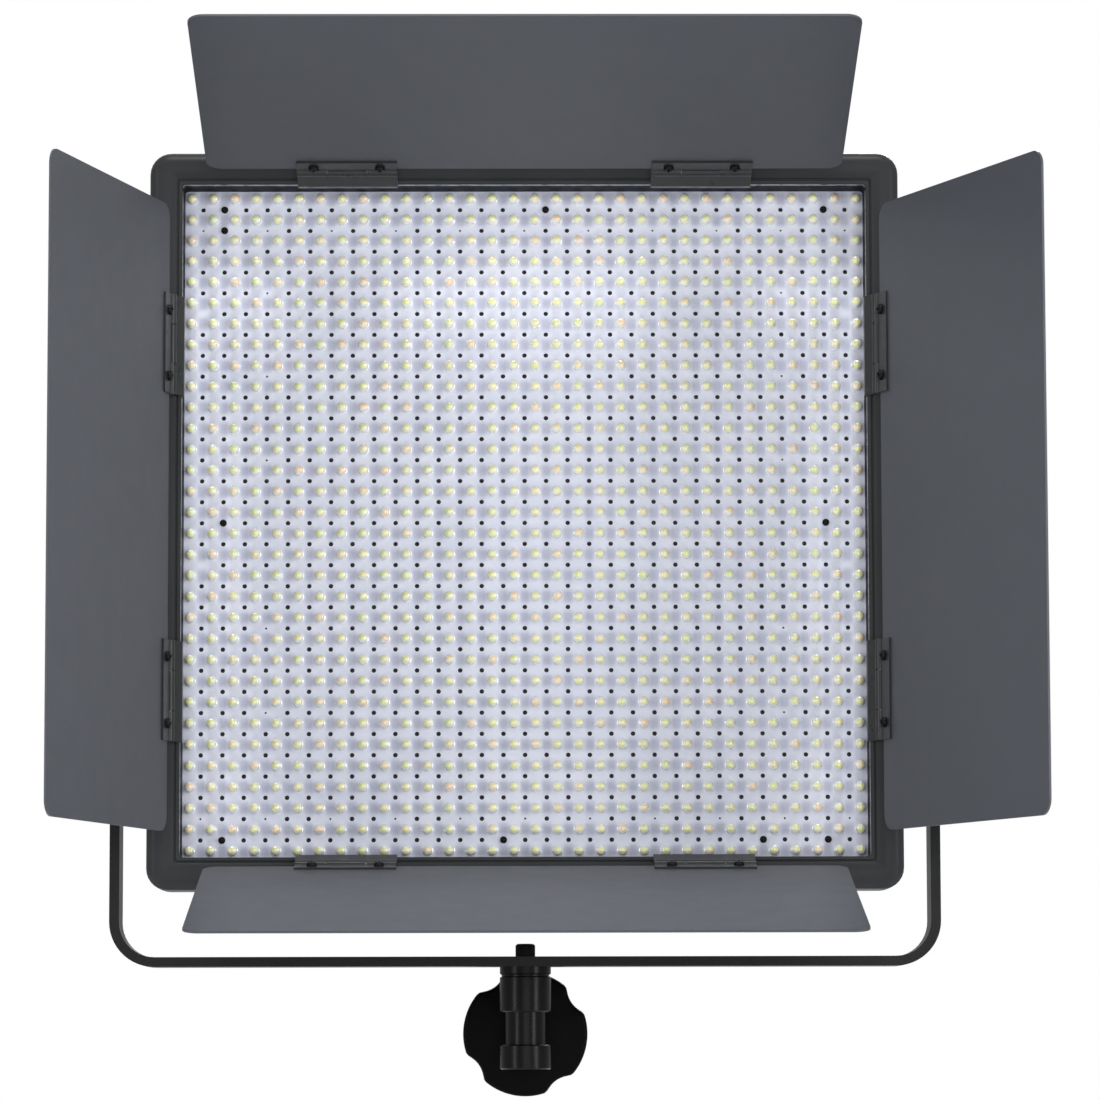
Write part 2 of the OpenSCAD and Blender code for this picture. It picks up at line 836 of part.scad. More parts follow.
front_bezel();
led_board();
led_emitters();
board_screws();
heat_sink();
driver_board();
driver_parts();
rear_cover();
rear_screws();
side_rails();
control_panel();
control_board();
display_module();
display_window();
dial_encoders();
battery_plate();
battery_contacts();
power_switch_frame();
dc_socket();
top_hinge_bases();
bottom_hinge_bases();
left_hinge_bases();
right_hinge_bases();
top_hinge_pins();
bottom_hinge_pins();
left_hinge_pins();
right_hinge_pins();
top_hinge_plates();
bottom_hinge_plates();
left_hinge_plates();
right_hinge_plates();
top_door();
bottom_door();
left_door();
right_door();
top_door_rivets();
bottom_door_rivets();
left_door_rivets();
right_door_rivets();
yoke_bracket();
stand_socket();
socket_screw();
clamp_pad();
clamp_screw();
clamp_knob();
friction_washers();
knob_washers();
left_tilt_screw();
left_tilt_knob();
right_tilt_screw();
right_tilt_knob();
brightness_dial();
colour_dial();
power_rocker();
menu_button();
mode_button();
down_button();
up_button();
battery_latch();
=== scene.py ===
"""Looks of the LED panel light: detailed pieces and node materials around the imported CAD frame."""
import json
import math

import bpy
from mathutils import Matrix, Vector

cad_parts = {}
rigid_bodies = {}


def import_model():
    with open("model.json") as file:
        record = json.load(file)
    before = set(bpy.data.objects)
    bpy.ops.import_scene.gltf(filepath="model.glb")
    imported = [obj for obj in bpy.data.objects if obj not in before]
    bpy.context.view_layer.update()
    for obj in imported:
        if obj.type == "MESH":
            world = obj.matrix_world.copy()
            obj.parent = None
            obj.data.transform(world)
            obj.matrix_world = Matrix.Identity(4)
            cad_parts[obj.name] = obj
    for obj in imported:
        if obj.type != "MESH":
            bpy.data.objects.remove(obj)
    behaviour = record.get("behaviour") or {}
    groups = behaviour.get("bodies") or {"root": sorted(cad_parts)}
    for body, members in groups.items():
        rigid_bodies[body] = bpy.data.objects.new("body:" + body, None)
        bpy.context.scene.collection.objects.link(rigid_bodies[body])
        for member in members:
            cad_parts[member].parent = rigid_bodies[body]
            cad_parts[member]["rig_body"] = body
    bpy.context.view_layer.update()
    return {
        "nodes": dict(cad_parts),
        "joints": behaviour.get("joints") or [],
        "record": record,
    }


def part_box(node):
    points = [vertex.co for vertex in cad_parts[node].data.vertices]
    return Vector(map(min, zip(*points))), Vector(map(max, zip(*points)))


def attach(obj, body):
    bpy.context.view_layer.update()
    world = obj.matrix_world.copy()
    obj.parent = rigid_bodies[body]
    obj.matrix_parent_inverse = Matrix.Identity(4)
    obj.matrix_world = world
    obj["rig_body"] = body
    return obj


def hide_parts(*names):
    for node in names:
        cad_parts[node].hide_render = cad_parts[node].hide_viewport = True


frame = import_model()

MM = 0.001
SIDES = ("top", "bottom", "left", "right")
FRONT, BACK = Vector((0, -1, 0)), Vector((0, 1, 0))
SLOTS = {part["node"]: part["material_slot"] for part in frame["record"]["subparts"]}
BODIES = {name: obj["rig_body"] for name, obj in frame["nodes"].items()}
JOINTS = {joint["name"]: joint for joint in frame["joints"]}


def box_mm(node):
    """Lowest and highest corner of a CAD node, in millimetres."""
    return [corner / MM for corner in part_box(node)]


# The emitter field, in millimetres: emitters in a row, their spacing, and the board's holes between them.
LED_COUNT = 32
LED_PITCH_X = 11.0
LED_PITCH_Z = 10.8
HOLE_R = 1.2
VIA_R = 0.55
HOLE_CHAMFER = 0.12
VIA_ROWS = (4, 8, 12, 20, 24)
PLAIN_ROWS = (5, 17)
BOARD_LOW, BOARD_HIGH = box_mm("led_board")
BOARD_Y = BOARD_LOW.y
HEAD_Z = (BOARD_LOW.z + BOARD_HIGH.z) / 2


# ---------------------------------------------------------------- node materials

def sockets(node, **values):
    """Sets input sockets by name, with underscores for spaces."""
    for name, value in values.items():
        node.inputs[name.replace("_", " ")].default_value = value
    return node


def rgba(value):
    """A colour with alpha from a grey level or from three numbers."""
    if isinstance(value, (int, float)):
        value = (value,) * 3
    return (*value[:3], 1.0)


def scaled(colour, factor):
    return tuple(c * factor for c in colour)


class Look:
    """A node material with the wiring that the finishes below share."""

    def __init__(self, name, **shader):
        self.material = bpy.data.materials.new(name)
        self.material.use_nodes = True
        self.tree = self.material.node_tree
        self.shader = sockets(self.tree.nodes["Principled BSDF"], **shader)
        self.place = self.tree.nodes.new("ShaderNodeTexCoord").outputs["Object"]

    def node(self, kind, **values):
        return sockets(self.tree.nodes.new(kind), **values)

    def link(self, output, node, name):
        self.tree.links.new(output, node.inputs[name])

    def noise(self, size, detail=2.0, stretch=(1, 1, 1)):
        """Noise whose features are about size metres across, or longer where stretch is below 1."""
        mapping = self.node("ShaderNodeMapping", Scale=stretch)
        self.link(self.place, mapping, "Vector")
        noise = self.node("ShaderNodeTexNoise", Scale=1 / size, Detail=detail, Roughness=0.55)
        self.link(mapping.outputs[0], noise, "Vector")
        return noise.outputs["Fac"]

    def ramp(self, factor, low, high, start=0.3, end=0.7):
        """A value or colour that runs from low to high as factor runs from start to end."""
        ramp = self.node("ShaderNodeValToRGB")
        stops = ramp.color_ramp.elements
        stops[0].position, stops[1].position = start, end
        stops[0].color, stops[1].color = rgba(low), rgba(high)
        self.link(factor, ramp, "Fac")
        return ramp.outputs["Color"]

    def mix(self, factor, a, b):
        mix = self.tree.nodes.new("ShaderNodeMix")
        mix.data_type = "RGBA"
        if isinstance(factor, bpy.types.NodeSocket):
            self.link(factor, mix, "Factor")
        else:
            mix.inputs["Factor"].default_value = factor
        for name, colour in (("A", a), ("B", b)):
            socket = next(s for s in mix.inputs if s.name == name and s.type == "RGBA")
            if isinstance(colour, bpy.types.NodeSocket):
                self.tree.links.new(colour, socket)
            else:
                socket.default_value = rgba(colour)
        return next(s for s in mix.outputs if s.type == "RGBA")

    def math(self, operation, a, b=0.0):
        node = self.tree.nodes.new("ShaderNodeMath")
        node.operation = operation
        for socket, value in zip(node.inputs, (a, b)):
            if isinstance(value, bpy.types.NodeSocket):
                self.tree.links.new(value, socket)
            else:
                socket.default_value = value
        return node.outputs[0]

    def bump(self, height, depth, after=None):
        bump = self.node("ShaderNodeBump", Distance=depth)
        self.link(height, bump, "Height")
        if after:
            self.link(after, bump, "Normal")
        return bump.outputs[0]

    def axes(self):
        """The X, Y and Z place on the piece, in millimetres."""
        split = self.tree.nodes.new("ShaderNodeSeparateXYZ")
        self.link(self.place, split, 0)
        return [self.math("MULTIPLY", out, 1 / MM) for out in split.outputs]

    def finish(self, colour=None, rough=None, normal=None):
        for name, output in (("Base Color", colour), ("Roughness", rough), ("Normal", normal)):
            if output:
                self.link(output, self.shader, name)
        return self.material


def coated(name, colour, rough, grain=0.5, depth=0.03, spread=0.12, wear=1.35, haze=0.03, **shader):
    """Powder coat or moulded plastic: a fine grain, slow colour drift and faint rubbed patches.

    The grain's size and depth are in millimetres; spread, wear and haze say how far the drift, the rubbed
    patches and the roughness stray from their middle.
    """
    look = Look(name, **shader)
    drift = look.ramp(look.noise(60 * MM), scaled(colour, 1 - spread), scaled(colour, 1 + spread))
    rubbed = look.ramp(look.noise(9 * MM, 5.0), 0.0, 0.35, 0.58, 0.8)
    base = look.mix(rubbed, drift, scaled(colour, wear))
    roughness = look.ramp(look.noise(14 * MM, 4.0), rough - haze, rough + haze)
    return look.finish(base, roughness, look.bump(look.noise(grain * MM, 3.0), depth * MM))


def metal(name, colour, rough, stretch=(1, 1, 1), line=0.25, metallic=1.0, **shader):
    """Turned, drawn or plated metal with fine tool lines and faintly stained patches."""
    look = Look(name, Metallic=metallic, **shader)
    lines = look.noise(line * MM, 2.0, stretch)
    stain = look.ramp(look.noise(5 * MM, 4.0), 0.0, 0.6)
    base = look.mix(stain, scaled(colour, 0.82), scaled(colour, 1.08))
    return look.finish(base, look.ramp(lines, rough - 0.08, rough + 0.1), look.bump(lines, 0.01 * MM))


def cell_offset(look, place, pitch, phase):
    """Signed distance in millimetres from the nearest centre of a row of cells."""
    share = look.math("FRACT", look.math("ADD", look.math("DIVIDE", place, pitch), phase))
    return look.math("MULTIPLY", look.math("SUBTRACT", share, 0.5), pitch)


def head_place(look):
    """X and Z in millimetres from the middle of the emitter board."""
    x, _, z = look.axes()
    return x, look.math("SUBTRACT", z, HEAD_Z)


def near(look, distance, inner, outer):
    """1 within inner of zero, falling to 0 at outer."""
    share = look.math("DIVIDE", look.math("ABSOLUTE", distance), outer)
    return look.ramp(share, 1.0, 0.0, inner / outer, 1.0)


def board_look():
    """White solder mask with grey patches between the emitters of a row."""
    look = Look("board_white", Specular_IOR_Level=0.4)
    strength = 0.68
    x, z = head_place(look)
    across = near(look, cell_offset(look, x, LED_PITCH_X, 0.5), 1.3, 3.2)
    along = near(look, cell_offset(look, z, LED_PITCH_Z, 0.0), 2.0, 4.6)
    patch = look.math("MULTIPLY", look.math("MULTIPLY", across, along), strength)
    mask = look.ramp(look.noise(26 * MM, 3.0), (0.74, 0.77, 0.90), (0.82, 0.84, 0.95))
    # The grey drawn in the gap between two emitters of a row, the same all over the board.
    solder = look.ramp(look.noise(6 * MM, 2.0), (0.46, 0.48, 0.64), (0.56, 0.57, 0.72))
    rough = look.ramp(look.noise(6 * MM, 3.0), 0.42, 0.6)
    normal = look.bump(look.noise(0.6 * MM, 2.0), 0.02 * MM)
    return look.finish(look.mix(patch, mask, solder), rough, normal)


def emitter_cell(look, x, z):
    """A random number and three more that hold all over one emitter, and 1 for every second emitter."""
    column = look.math("FLOOR", look.math("DIVIDE", x, LED_PITCH_X))
    row = look.math("FLOOR", look.math("DIVIDE", z, LED_PITCH_Z))
    index = look.tree.nodes.new("ShaderNodeCombineXYZ")
    look.link(column, index, 0)
    look.link(row, index, 2)
    random = look.tree.nodes.new("ShaderNodeTexWhiteNoise")
    look.link(index.outputs[0], random, "Vector")
    shift = look.tree.nodes.new("ShaderNodeSeparateColor")
    look.link(random.outputs["Color"], shift, 0)
    second = look.math("PINGPONG", look.math("ADD", column, row), 1.0)
    return random.outputs["Value"], shift.outputs, second


def phosphor_colour(look, chance, second):
    """Yellow-green, and on every second emitter more or less warm."""
    warm = look.math("MULTIPLY", second, look.ramp(chance, 0.0, 0.9, 0.35, 1.0))
    green = look.ramp(chance, (0.80, 0.88, 0.20), (0.98, 0.90, 0.32), 0.0, 1.0)
    return look.mix(warm, green, (1.0, 0.60, 0.28))


def core_distance(look, x, z, shift):
    """Millimetres from a phosphor core that lies a little off the lens's axis and is wider than high."""
    reach, width_by_height = 0.45, 1.25
    offsets = []
    for place, pitch, share in ((x, LED_PITCH_X, shift[0]), (z, LED_PITCH_Z, shift[1])):
        moved = look.math("MULTIPLY", share, 2 * reach)
        offset = look.math("SUBTRACT", cell_offset(look, place, pitch, 0.0), moved)
        offsets.append(look.math("ADD", offset, reach))
    u, v = offsets[0], look.math("MULTIPLY", offsets[1], width_by_height)
    return look.math("SQRT", look.math("ADD", look.math("MULTIPLY", u, u), look.math("MULTIPLY", v, v)))


def emitter_look():
    """Clear lenses over phosphor: yellow-green and warm ones take turns, and no two are the same."""
    look = Look("emitter_lens", Coat_Weight=1.0, Coat_Roughness=0.05, Coat_IOR=2.1, Specular_IOR_Level=0.6)
    x, z = head_place(look)
    chance, shift, second = emitter_cell(look, x, z)
    phosphor = phosphor_colour(look, chance, second)
    core = near(look, core_distance(look, x, z, shift), 1.1, 2.7)
    cloud = look.ramp(look.noise(1.3 * MM, 2.0), 0.6, 1.0)
    lens = look.ramp(look.noise(2.5 * MM, 2.0), (0.88, 0.90, 0.90), (1.0, 1.0, 0.98))
    face = look.mix(look.math("MULTIPLY", core, cloud), lens, phosphor)
    _, depth, _ = look.axes()
    height = look.math("SUBTRACT", BOARD_Y, depth)
    wall_middle, wall_share, pale_share = 2.2, 0.7, 0.75
    wall = near(look, look.math("SUBTRACT", height, wall_middle), 1.2, 2.2)
    tinted = look.mix(pale_share, phosphor, (0.90, 0.91, 0.90))
    base = look.mix(look.math("MULTIPLY", wall, wall_share), face, tinted)
    rough = look.ramp(look.noise(2 * MM), 0.1, 0.25)
    return look.finish(base, rough, look.bump(look.noise(1.2 * MM), 0.06 * MM))


def circuit_look():
    """Green solder mask with copper tracks that show through and tinned pads."""
    look = Look("circuit_board", Coat_Weight=0.4, Coat_Roughness=0.2)
    wave = look.node("ShaderNodeTexWave", Scale=260.0, Distortion=3.0, Detail=1.0)
    look.link(look.place, wave, "Vector")
    tracks = look.ramp(wave.outputs["Fac"], 0.0, 1.0, 0.55, 0.62)
    base = look.mix(tracks, (0.012, 0.09, 0.04), (0.03, 0.16, 0.07))
    pads = look.ramp(look.noise(3 * MM, 1.0), 0.0, 1.0, 0.66, 0.7)
    rough = look.ramp(look.noise(4 * MM), 0.25, 0.4)
    return look.finish(look.mix(pads, base, (0.55, 0.55, 0.52)), rough, look.bump(tracks, 0.03 * MM))


def glass_look():
    """A dark display behind a slightly marked plastic window."""
    look = Look("display_glass", Coat_Weight=0.15, Coat_Roughness=0.03, Specular_IOR_Level=0.25)
    base = look.ramp(look.noise(30 * MM, 2.0), (0.030, 0.040, 0.036), (0.045, 0.06, 0.053))
    smears = look.ramp(look.noise(8 * MM, 5.0, (1, 1, 0.4)), 0.05, 0.16)
    return look.finish(base, smears, look.bump(look.noise(0.4 * MM), 0.002 * MM))


def pointer_look():
    """White paint in the dials' pointer grooves."""
    look = Look("pointer_white")
    base = look.ramp(look.noise(2 * MM, 3.0), (0.62, 0.62, 0.6), (0.82, 0.82, 0.8))
    rough = look.ramp(look.noise(1 * MM), 0.4, 0.6)
    return look.finish(base, rough, look.bump(look.noise(0.3 * MM), 0.02 * MM))


def shaded_wall_look():
    """The window's blue-black inner wall: the bezel's black made darker and bluer, painted shade in the deep
    recess.
    """
    look = Look("bezel_inner_wall_shade", Specular_IOR_Level=0.12)
    base = look.ramp(look.noise(25 * MM, 3.0), (0.004, 0.006, 0.014), (0.008, 0.012, 0.028))
    rough = look.ramp(look.noise(9 * MM, 3.0), 0.5, 0.65)
    return look.finish(base, rough, look.bump(look.noise(0.8 * MM), 0.03 * MM))


def rim_look():
    """The glossy first millimetres of the wall, which mirror the emitters."""
    look = Look("bezel_rim", Coat_Weight=1.0, Coat_Roughness=0.08)
    base = look.ramp(look.noise(25 * MM, 3.0), (0.010, 0.011, 0.014), (0.016, 0.018, 0.024))
    rough = look.ramp(look.noise(9 * MM), 0.2, 0.3)
    return look.finish(base, rough, look.bump(look.noise(1.5 * MM), 0.02 * MM))


def floor_look():
    """Pale matt floor that stays pale where the softboxes don't reach."""
    look = Look("floor_pale", Emission_Color=(1, 1, 1, 1), Emission_Strength=0.36)
    base = look.ramp(look.noise(0.4, 3.0), 0.5, 0.54)
    return look.finish(base, look.ramp(look.noise(0.1), 0.6, 0.75))


BLACK_TINT = (1.0, 1.04, 1.1)


def black(name, level, rough, specular, grain=0.4, depth=0.02):
    """A near-black coat or plastic, slightly blue."""
    return coated(name, scaled(BLACK_TINT, level), rough, grain, depth, Specular_IOR_Level=specular)


# A finish for each material slot, and the few that only parts of a piece have.
FINISHES = {
    "bezel_black": black("bezel_black", 0.026, 0.42, 0.14),
    "cover_grey": black("cover_grey", 0.030, 0.55, 0.35, 0.9, 0.09),
    "door_paint": coated("door_paint", (0.056, 0.061, 0.073), 0.45, 0.45, 0.02, 0.012, 1.06, 0.015),
    # The next finish is a far darker black than the doors' paint, for the bevels of doors and hinge plates:
    # painted shade on their edges.
    "edge_shade_paint": black("edge_shade_paint", 0.012, 0.5, 0.2),
    "yoke_paint": black("yoke_paint", 0.008, 0.36, 0.2, 0.4, 0.02),
    "socket_black": black("socket_black", 0.003, 0.28, 0.16, 0.5, 0.004),
    "hinge_black": black("hinge_black", 0.024, 0.30, 0.4, 0.3, 0.01),
    "knob_black": black("knob_black", 0.0015, 0.38, 0.05, 0.7, 0.04),
    "button_rubber": black("button_rubber", 0.030, 0.75, 0.3, 0.3, 0.03),
    "control_plate": black("control_plate", 0.010, 0.38, 0.4, 0.25, 0.01),
    "socket_plastic": black("socket_plastic", 0.008, 0.35, 0.3),
    "components": black("components", 0.015, 0.4, 0.4, 1.0, 0.03),
    "nylon": coated("nylon", (0.66, 0.64, 0.58), 0.5, 0.4, 0.02, 0.04),
    "black_screws": metal("black_screws", (0.004, 0.004, 0.006), 0.32, metallic=0.0, Specular_IOR_Level=0.12),
    "rivet_black": metal("rivet_black", (0.003, 0.003, 0.004), 0.3, metallic=0.0, Specular_IOR_Level=0.2),
    "heat_sink_metal": metal("heat_sink_metal", (0.020, 0.021, 0.026), 0.5, (1, 1, 0.05), 0.6, 0.5),
    "zinc_steel": metal("zinc_steel", (0.56, 0.57, 0.58), 0.34, (1, 0.05, 1), 0.4),
    "hinge_pin_steel": metal("hinge_pin_steel", (0.42, 0.43, 0.45), 0.28),
    "contact_gold": metal("contact_gold", (0.85, 0.62, 0.26), 0.24),
    "brass": metal("brass", (0.72, 0.52, 0.22), 0.3),
    "board_white": board_look(),
    "emitter_lens": emitter_look(),
    "circuit_board": circuit_look(),
    "display_glass": glass_look(),
    "pointer": pointer_look(),
}


# ---------------------------------------------------------------- mesh building

def piece(name, points, faces, node, replaces=True, material=None, extra=(), smooth=38, uses=()):
    """A mesh from points in millimetres, with the body and slot of the CAD node it stands for or sits on.

    extra lists further materials, and uses gives some faces one of them, as (face, material).
    """
    mesh = bpy.data.meshes.new(name)
    mesh.from_pydata([Vector(p) * MM for p in points], [], faces)
    for finish in (material or FINISHES[SLOTS[node]], *extra):
        mesh.materials.append(finish)
    for index, slot in uses:
        mesh.polygons[index].material_index = slot
    mesh.shade_smooth()
    mesh.set_sharp_from_angle(angle=math.radians(smooth))
    obj = bpy.data.objects.new(name, mesh)
    bpy.context.scene.collection.objects.link(obj)
    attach(obj, BODIES[node])
    if replaces:
        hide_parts(node)
    return obj


class Build:
    """Collects points in millimetres and faces for one mesh."""

    def __init__(self):
        self.points, self.faces = [], []

    def turned(self, rings, origin, axis, segments):
        """A closed shape about an axis. A ring is a radius or function of the angle, and a height."""
        turn = Vector((0, 0, 1)).rotation_difference(Vector(axis)).to_matrix()
        start = len(self.points)
        for radius, height in rings:
            for k in range(segments):
                a = math.tau * k / segments
                r = radius(a) if callable(radius) else radius
                at = Vector((r * math.cos(a), r * math.sin(a), height))
                self.points.append(Vector(origin) + turn @ at)
        for i in range(len(rings) - 1):
            low = start + i * segments
            for k in range(segments):
                m = (k + 1) % segments
                self.faces.append((low + k, low + m, low + segments + m, low + segments + k))
        last = start + (len(rings) - 1) * segments
        self.faces.append(tuple(range(start + segments - 1, start - 1, -1)))
        self.faces.append(tuple(range(last, last + segments)))

    def piece(self, name, node, **options):
        return piece(name, self.points, self.faces, node, **options)


def solids(node):
    """The corners of each separate solid of a CAD node, in millimetres."""
    mesh = frame["nodes"][node].data
    places = [tuple(round(c / MM, 2) for c in v.co) for v in mesh.vertices]
    parent = {p: p for p in places}

    def root(p):
        while parent[p] != p:
            parent[p] = parent[parent[p]]
            p = parent[p]
        return p

    for face in mesh.polygons:
        first = root(places[face.vertices[0]])
        for v in face.vertices[1:]:
            parent[root(places[v])] = first
    groups = {}
    for p in sorted(parent):
        groups.setdefault(root(p), []).append(Vector(p))
    return list(groups.values())


def middle(corners):
    """Centre of the box round some points."""
    return Vector(((min(p[i] for p in corners) + max(p[i] for p in corners)) / 2 for i in range(3)))


def inner(radius, inset):
    """The same outline or radius, moved in."""
    if callable(radius):
        return lambda a: radius(a) - inset
    return radius - inset


def rounding(radius, height, size, steps=4, rising=True):
    """Rings for a rounded edge: a wall that turns in to a face, or with rising off, a face out to a wall."""
    rings = []
    for k in range(steps + 1):
        a = math.pi / 2 * k / steps
        drop = size * (1 - math.sin(a))
        rings.append((inner(radius, size * (1 - math.cos(a))), height - drop if rising else height + drop))
    return rings if rising else rings[::-1]


def scalloped(radius, count, start, centre, cut):
    """A round outline with finger grooves of radius cut, each centred that far from the axis."""
    step, blend = math.tau / count, 0.7

    def outline(a):
        turn = (a - start + step / 2) % step - step / 2
        side = centre * math.sin(turn)
        if abs(side) >= cut:
            return radius
        groove = centre * math.cos(turn) - math.sqrt(cut * cut - side * side)
        return -blend * math.log(math.exp(-radius / blend) + math.exp(-groove / blend))
    return outline


def knurled(radius, count, depth):
    """A round outline with fine ridges."""
    return lambda a: radius - depth * (0.5 - 0.5 * math.cos(count * a))


def cross(length, width):
    """Outline of a cross recess whose arms are twice width across."""
    def outline(a):
        turn = (a + math.pi / 4) % (math.pi / 2) - math.pi / 4
        return min(length, width / max(abs(math.sin(turn)), 1e-6))
    return outline


def hexagon(reach):
    """Outline of a hexagon recess, reach from its middle to a flat."""
    def outline(a):
        turn = a % (math.pi / 3) - math.pi / 6
        return reach / math.cos(turn)
    return outline


def domed(radius, height, crown=0.35):
    """Rings of a pan head: a short wall and a crowned top."""
    wall, steps = 0.4, 4
    rings = [(radius, 0.0), (radius, height * wall)]
    for k in range(1, steps + 1):
        a = math.pi / 2 * k / steps
        rise = wall + (1 - wall) * math.sin(a)
        rings.append((radius * (1 - crown * (1 - math.cos(a))), height * rise))
    return rings


def screw(build, at, axis, radius, height, shank_r, shank):
    """A pan head with a cross recess on one side of at, and its shank on the other."""
    recess, taper, recess_floor = cross(radius * 0.62, radius * 0.14), radius * 0.03, height * 0.3
    head = [*domed(radius, height), (recess, height), (inner(recess, taper), recess_floor)]
    build.turned(head, at, axis, 32)
    build.turned([(shank_r, 0), *rounding(shank_r, shank, 0.3, 2)], at, -Vector(axis), 16)


# ---------------------------------------------------------------- the lamp head

def rounded_loop(half_x, half_z, radius, y, steps=7):
    """A rounded rectangle about the head's middle."""
    points = []
    for quarter, (sx, sz) in enumerate(((1, 1), (-1, 1), (-1, -1), (1, -1))):
        for k in range(steps + 1):
            a = math.pi / 2 * (quarter + k / steps)
            points.append((
                sx * (half_x - radius) + radius * math.cos(a), y,
                HEAD_Z + sz * (half_z - radius) + radius * math.sin(a),
            ))
    return points


def ring_faces(loops, materials):
    """Points and faces of a closed ring of loops, and the faces after some loops with their own material."""
    count = len(loops[0])
    faces, uses = [], []
    for i in range(len(loops)):
        for k in range(count):
            if i in materials:
                uses.append((len(faces), materials[i]))
            a, b, m = i * count, (i + 1) % len(loops) * count, (k + 1) % count
            faces.append((a + k, a + m, b + m, b + k))
    return [p for loop in loops for p in loop], faces, uses


def front_bezel():
    """The moulded frame: rounded outside, flat ring, fine double lip and a wall down to the board, its black
    made darker and bluer as painted shade.
    """
    low, high = box_mm("front_bezel")
    half_x, half_z, front, back = high.x, high.z - HEAD_Z, low.y, high.y
    window_x, window_z, pocket_x, pocket_z = 174.2, 171.5, 178.2, 176.0
    corner, edge, ring, lip_fall, window_corner, rim_depth = 11.0, 6.0, 9.5, 2.2, 1.6, 4.6
    slope_x, slope_z = half_x - ring - window_x, half_z - ring - window_z
    lip = front + lip_fall

    def outer(inset, y):
        return rounded_loop(half_x - inset, half_z - inset, corner - inset, y)

    def flare(share, fall=0.0):
        """A loop on the slope from the lip, at 0, out to the ring, at 1, sunk by fall."""
        radius = window_corner + (corner - ring - window_corner) * share
        y = lip - lip_fall * share + fall
        return rounded_loop(window_x + slope_x * share, window_z + slope_z * share, radius, y)

    loops = [outer(0.4, back), outer(0.0, back - 0.4)]
    for inset, y in rounding(0.0, -front, edge, 7):
        loops.append(outer(-inset, -y))
    loops += [outer(ring - 0.6, front), flare(0.99)]
    groove = ((0.44, 0.0), (0.40, 0.12), (0.385, 1.0), (0.24, 1.0), (0.225, 0.12), (0.19, 0.02), (0.03, 0.02))
    loops += [flare(share, fall) for share, fall in groove]
    rim = len(loops)
    depths = (lip + 0.5, lip + rim_depth, BOARD_Y)
    loops += [rounded_loop(window_x, window_z, window_corner, y) for y in depths]
    loops += [rounded_loop(pocket_x, pocket_z, window_corner, y) for y in (BOARD_Y, back)]
    # Faces past the rim's first loop take the glossy rim finish, and faces past the next loop take the wall's
    # darker black, which is painted shade.
    points, faces, uses = ring_faces(loops, {rim: 2, rim + 1: 1})
    piece("front_bezel_frame", points, faces, "front_bezel", extra=(shaded_wall_look(), rim_look()), uses=uses)


SCREWS = [middle(corners) for corners in solids("board_screws")]


def hole_radius(column, row, x, z):
    """Radius of the board's hole at a place in the grid: a few are only small vias, and screws take some."""
    last = LED_COUNT - 2
    if any(math.hypot(at.x - x, at.z - z) < LED_PITCH_X / 2 for at in SCREWS):
        return 0.0
    if row in (1, last - 1) and column % 3 == 0:
        return VIA_R
    if column in (3, last - 3) and row in VIA_ROWS:
        return VIA_R
    if column in (0, last) and row in PLAIN_ROWS:
        return 0.0
    return HOLE_R


def border(xs, zs):
    """Places round a block of the grid, without repeating a corner."""
    return [
        *((x, zs[0]) for x in xs[:-1]), *((xs[-1], z) for z in zs[:-1]),
        *((x, zs[-1]) for x in reversed(xs[1:])), *((xs[0], z) for z in reversed(zs[1:])),
    ]


class Sheet:
    """Collects the faces of a drilled board, whose neighbouring cells share their points."""

    def __init__(self):
        self.index, self.points, self.faces = {}, [], []

    def loop(self, places, y):
        """Numbers of the points at those X and Z places, each made once."""
        found = []
        for x, z in places:
            key = (round(x, 3), y, round(z, 3))
            if key not in self.index:
                self.index[key] = len(self.points)
                self.points.append(key)
            found.append(self.index[key])
        return found

    def band(self, a, b):
        for k in range(len(a)):
            m = (k + 1) % len(a)
            self.faces.append((a[k], a[m], b[m], b[k]))

    def cell(self, xs, zs, hole):
        """A block of the board with a hole of that radius, or with none."""
        rim = border(xs, zs)
        front, back = self.loop(rim, BOARD_Y), self.loop(rim, BOARD_HIGH.y)
        if not hole:
            self.faces += [tuple(front), tuple(reversed(back))]
            return
        x, z = (xs[0] + xs[-1]) / 2, (zs[0] + zs[-1]) / 2
        turns = [math.atan2(pz - z, px - x) for px, pz in rim]
        wall = ((hole + HOLE_CHAMFER, BOARD_Y), (hole, BOARD_Y + HOLE_CHAMFER), (hole, BOARD_HIGH.y))
        rings = [front]
        for radius, y in wall:
            rings.append(self.loop([(x + radius * math.cos(a), z + radius * math.sin(a)) for a in turns], y))
        for a, b in zip(rings, [*rings[1:], back]):
            self.band(a, b)


def led_board():
    """The emitter board with a real hole at the middle of almost every four emitters."""
    cells = LED_COUNT - 1
    parts = 3
    steps_x = [(k / parts - cells / 2) * LED_PITCH_X for k in range(cells * parts + 1)]
    steps_z = [HEAD_Z + (k / parts - cells / 2) * LED_PITCH_Z for k in range(cells * parts + 1)]
    sheet = Sheet()
    for i in range(cells):
        for j in range(cells):
            xs, zs = (steps[k * parts:(k + 1) * parts + 1] for steps, k in ((steps_x, i), (steps_z, j)))
            x, z = (xs[0] + xs[-1]) / 2, (zs[0] + zs[-1]) / 2
            sheet.cell(xs, zs, hole_radius(i, cells - 1 - j, x, z))
    rim = border(steps_x, steps_z)
    grow_x, grow_z = BOARD_HIGH.x / steps_x[-1], (BOARD_HIGH.z - HEAD_Z) / (steps_z[-1] - HEAD_Z)
    edge = [(x * grow_x, HEAD_Z + (z - HEAD_Z) * grow_z) for x, z in rim]
    sides = ((rim, BOARD_Y), (edge, BOARD_Y), (edge, BOARD_HIGH.y), (rim, BOARD_HIGH.y))
    outline = [sheet.loop(places, y) for places, y in sides]
    for a, b in zip(outline, outline[1:]):
        sheet.band(b, a)
    piece("led_board_drilled", sheet.points, sheet.faces, "led_board")


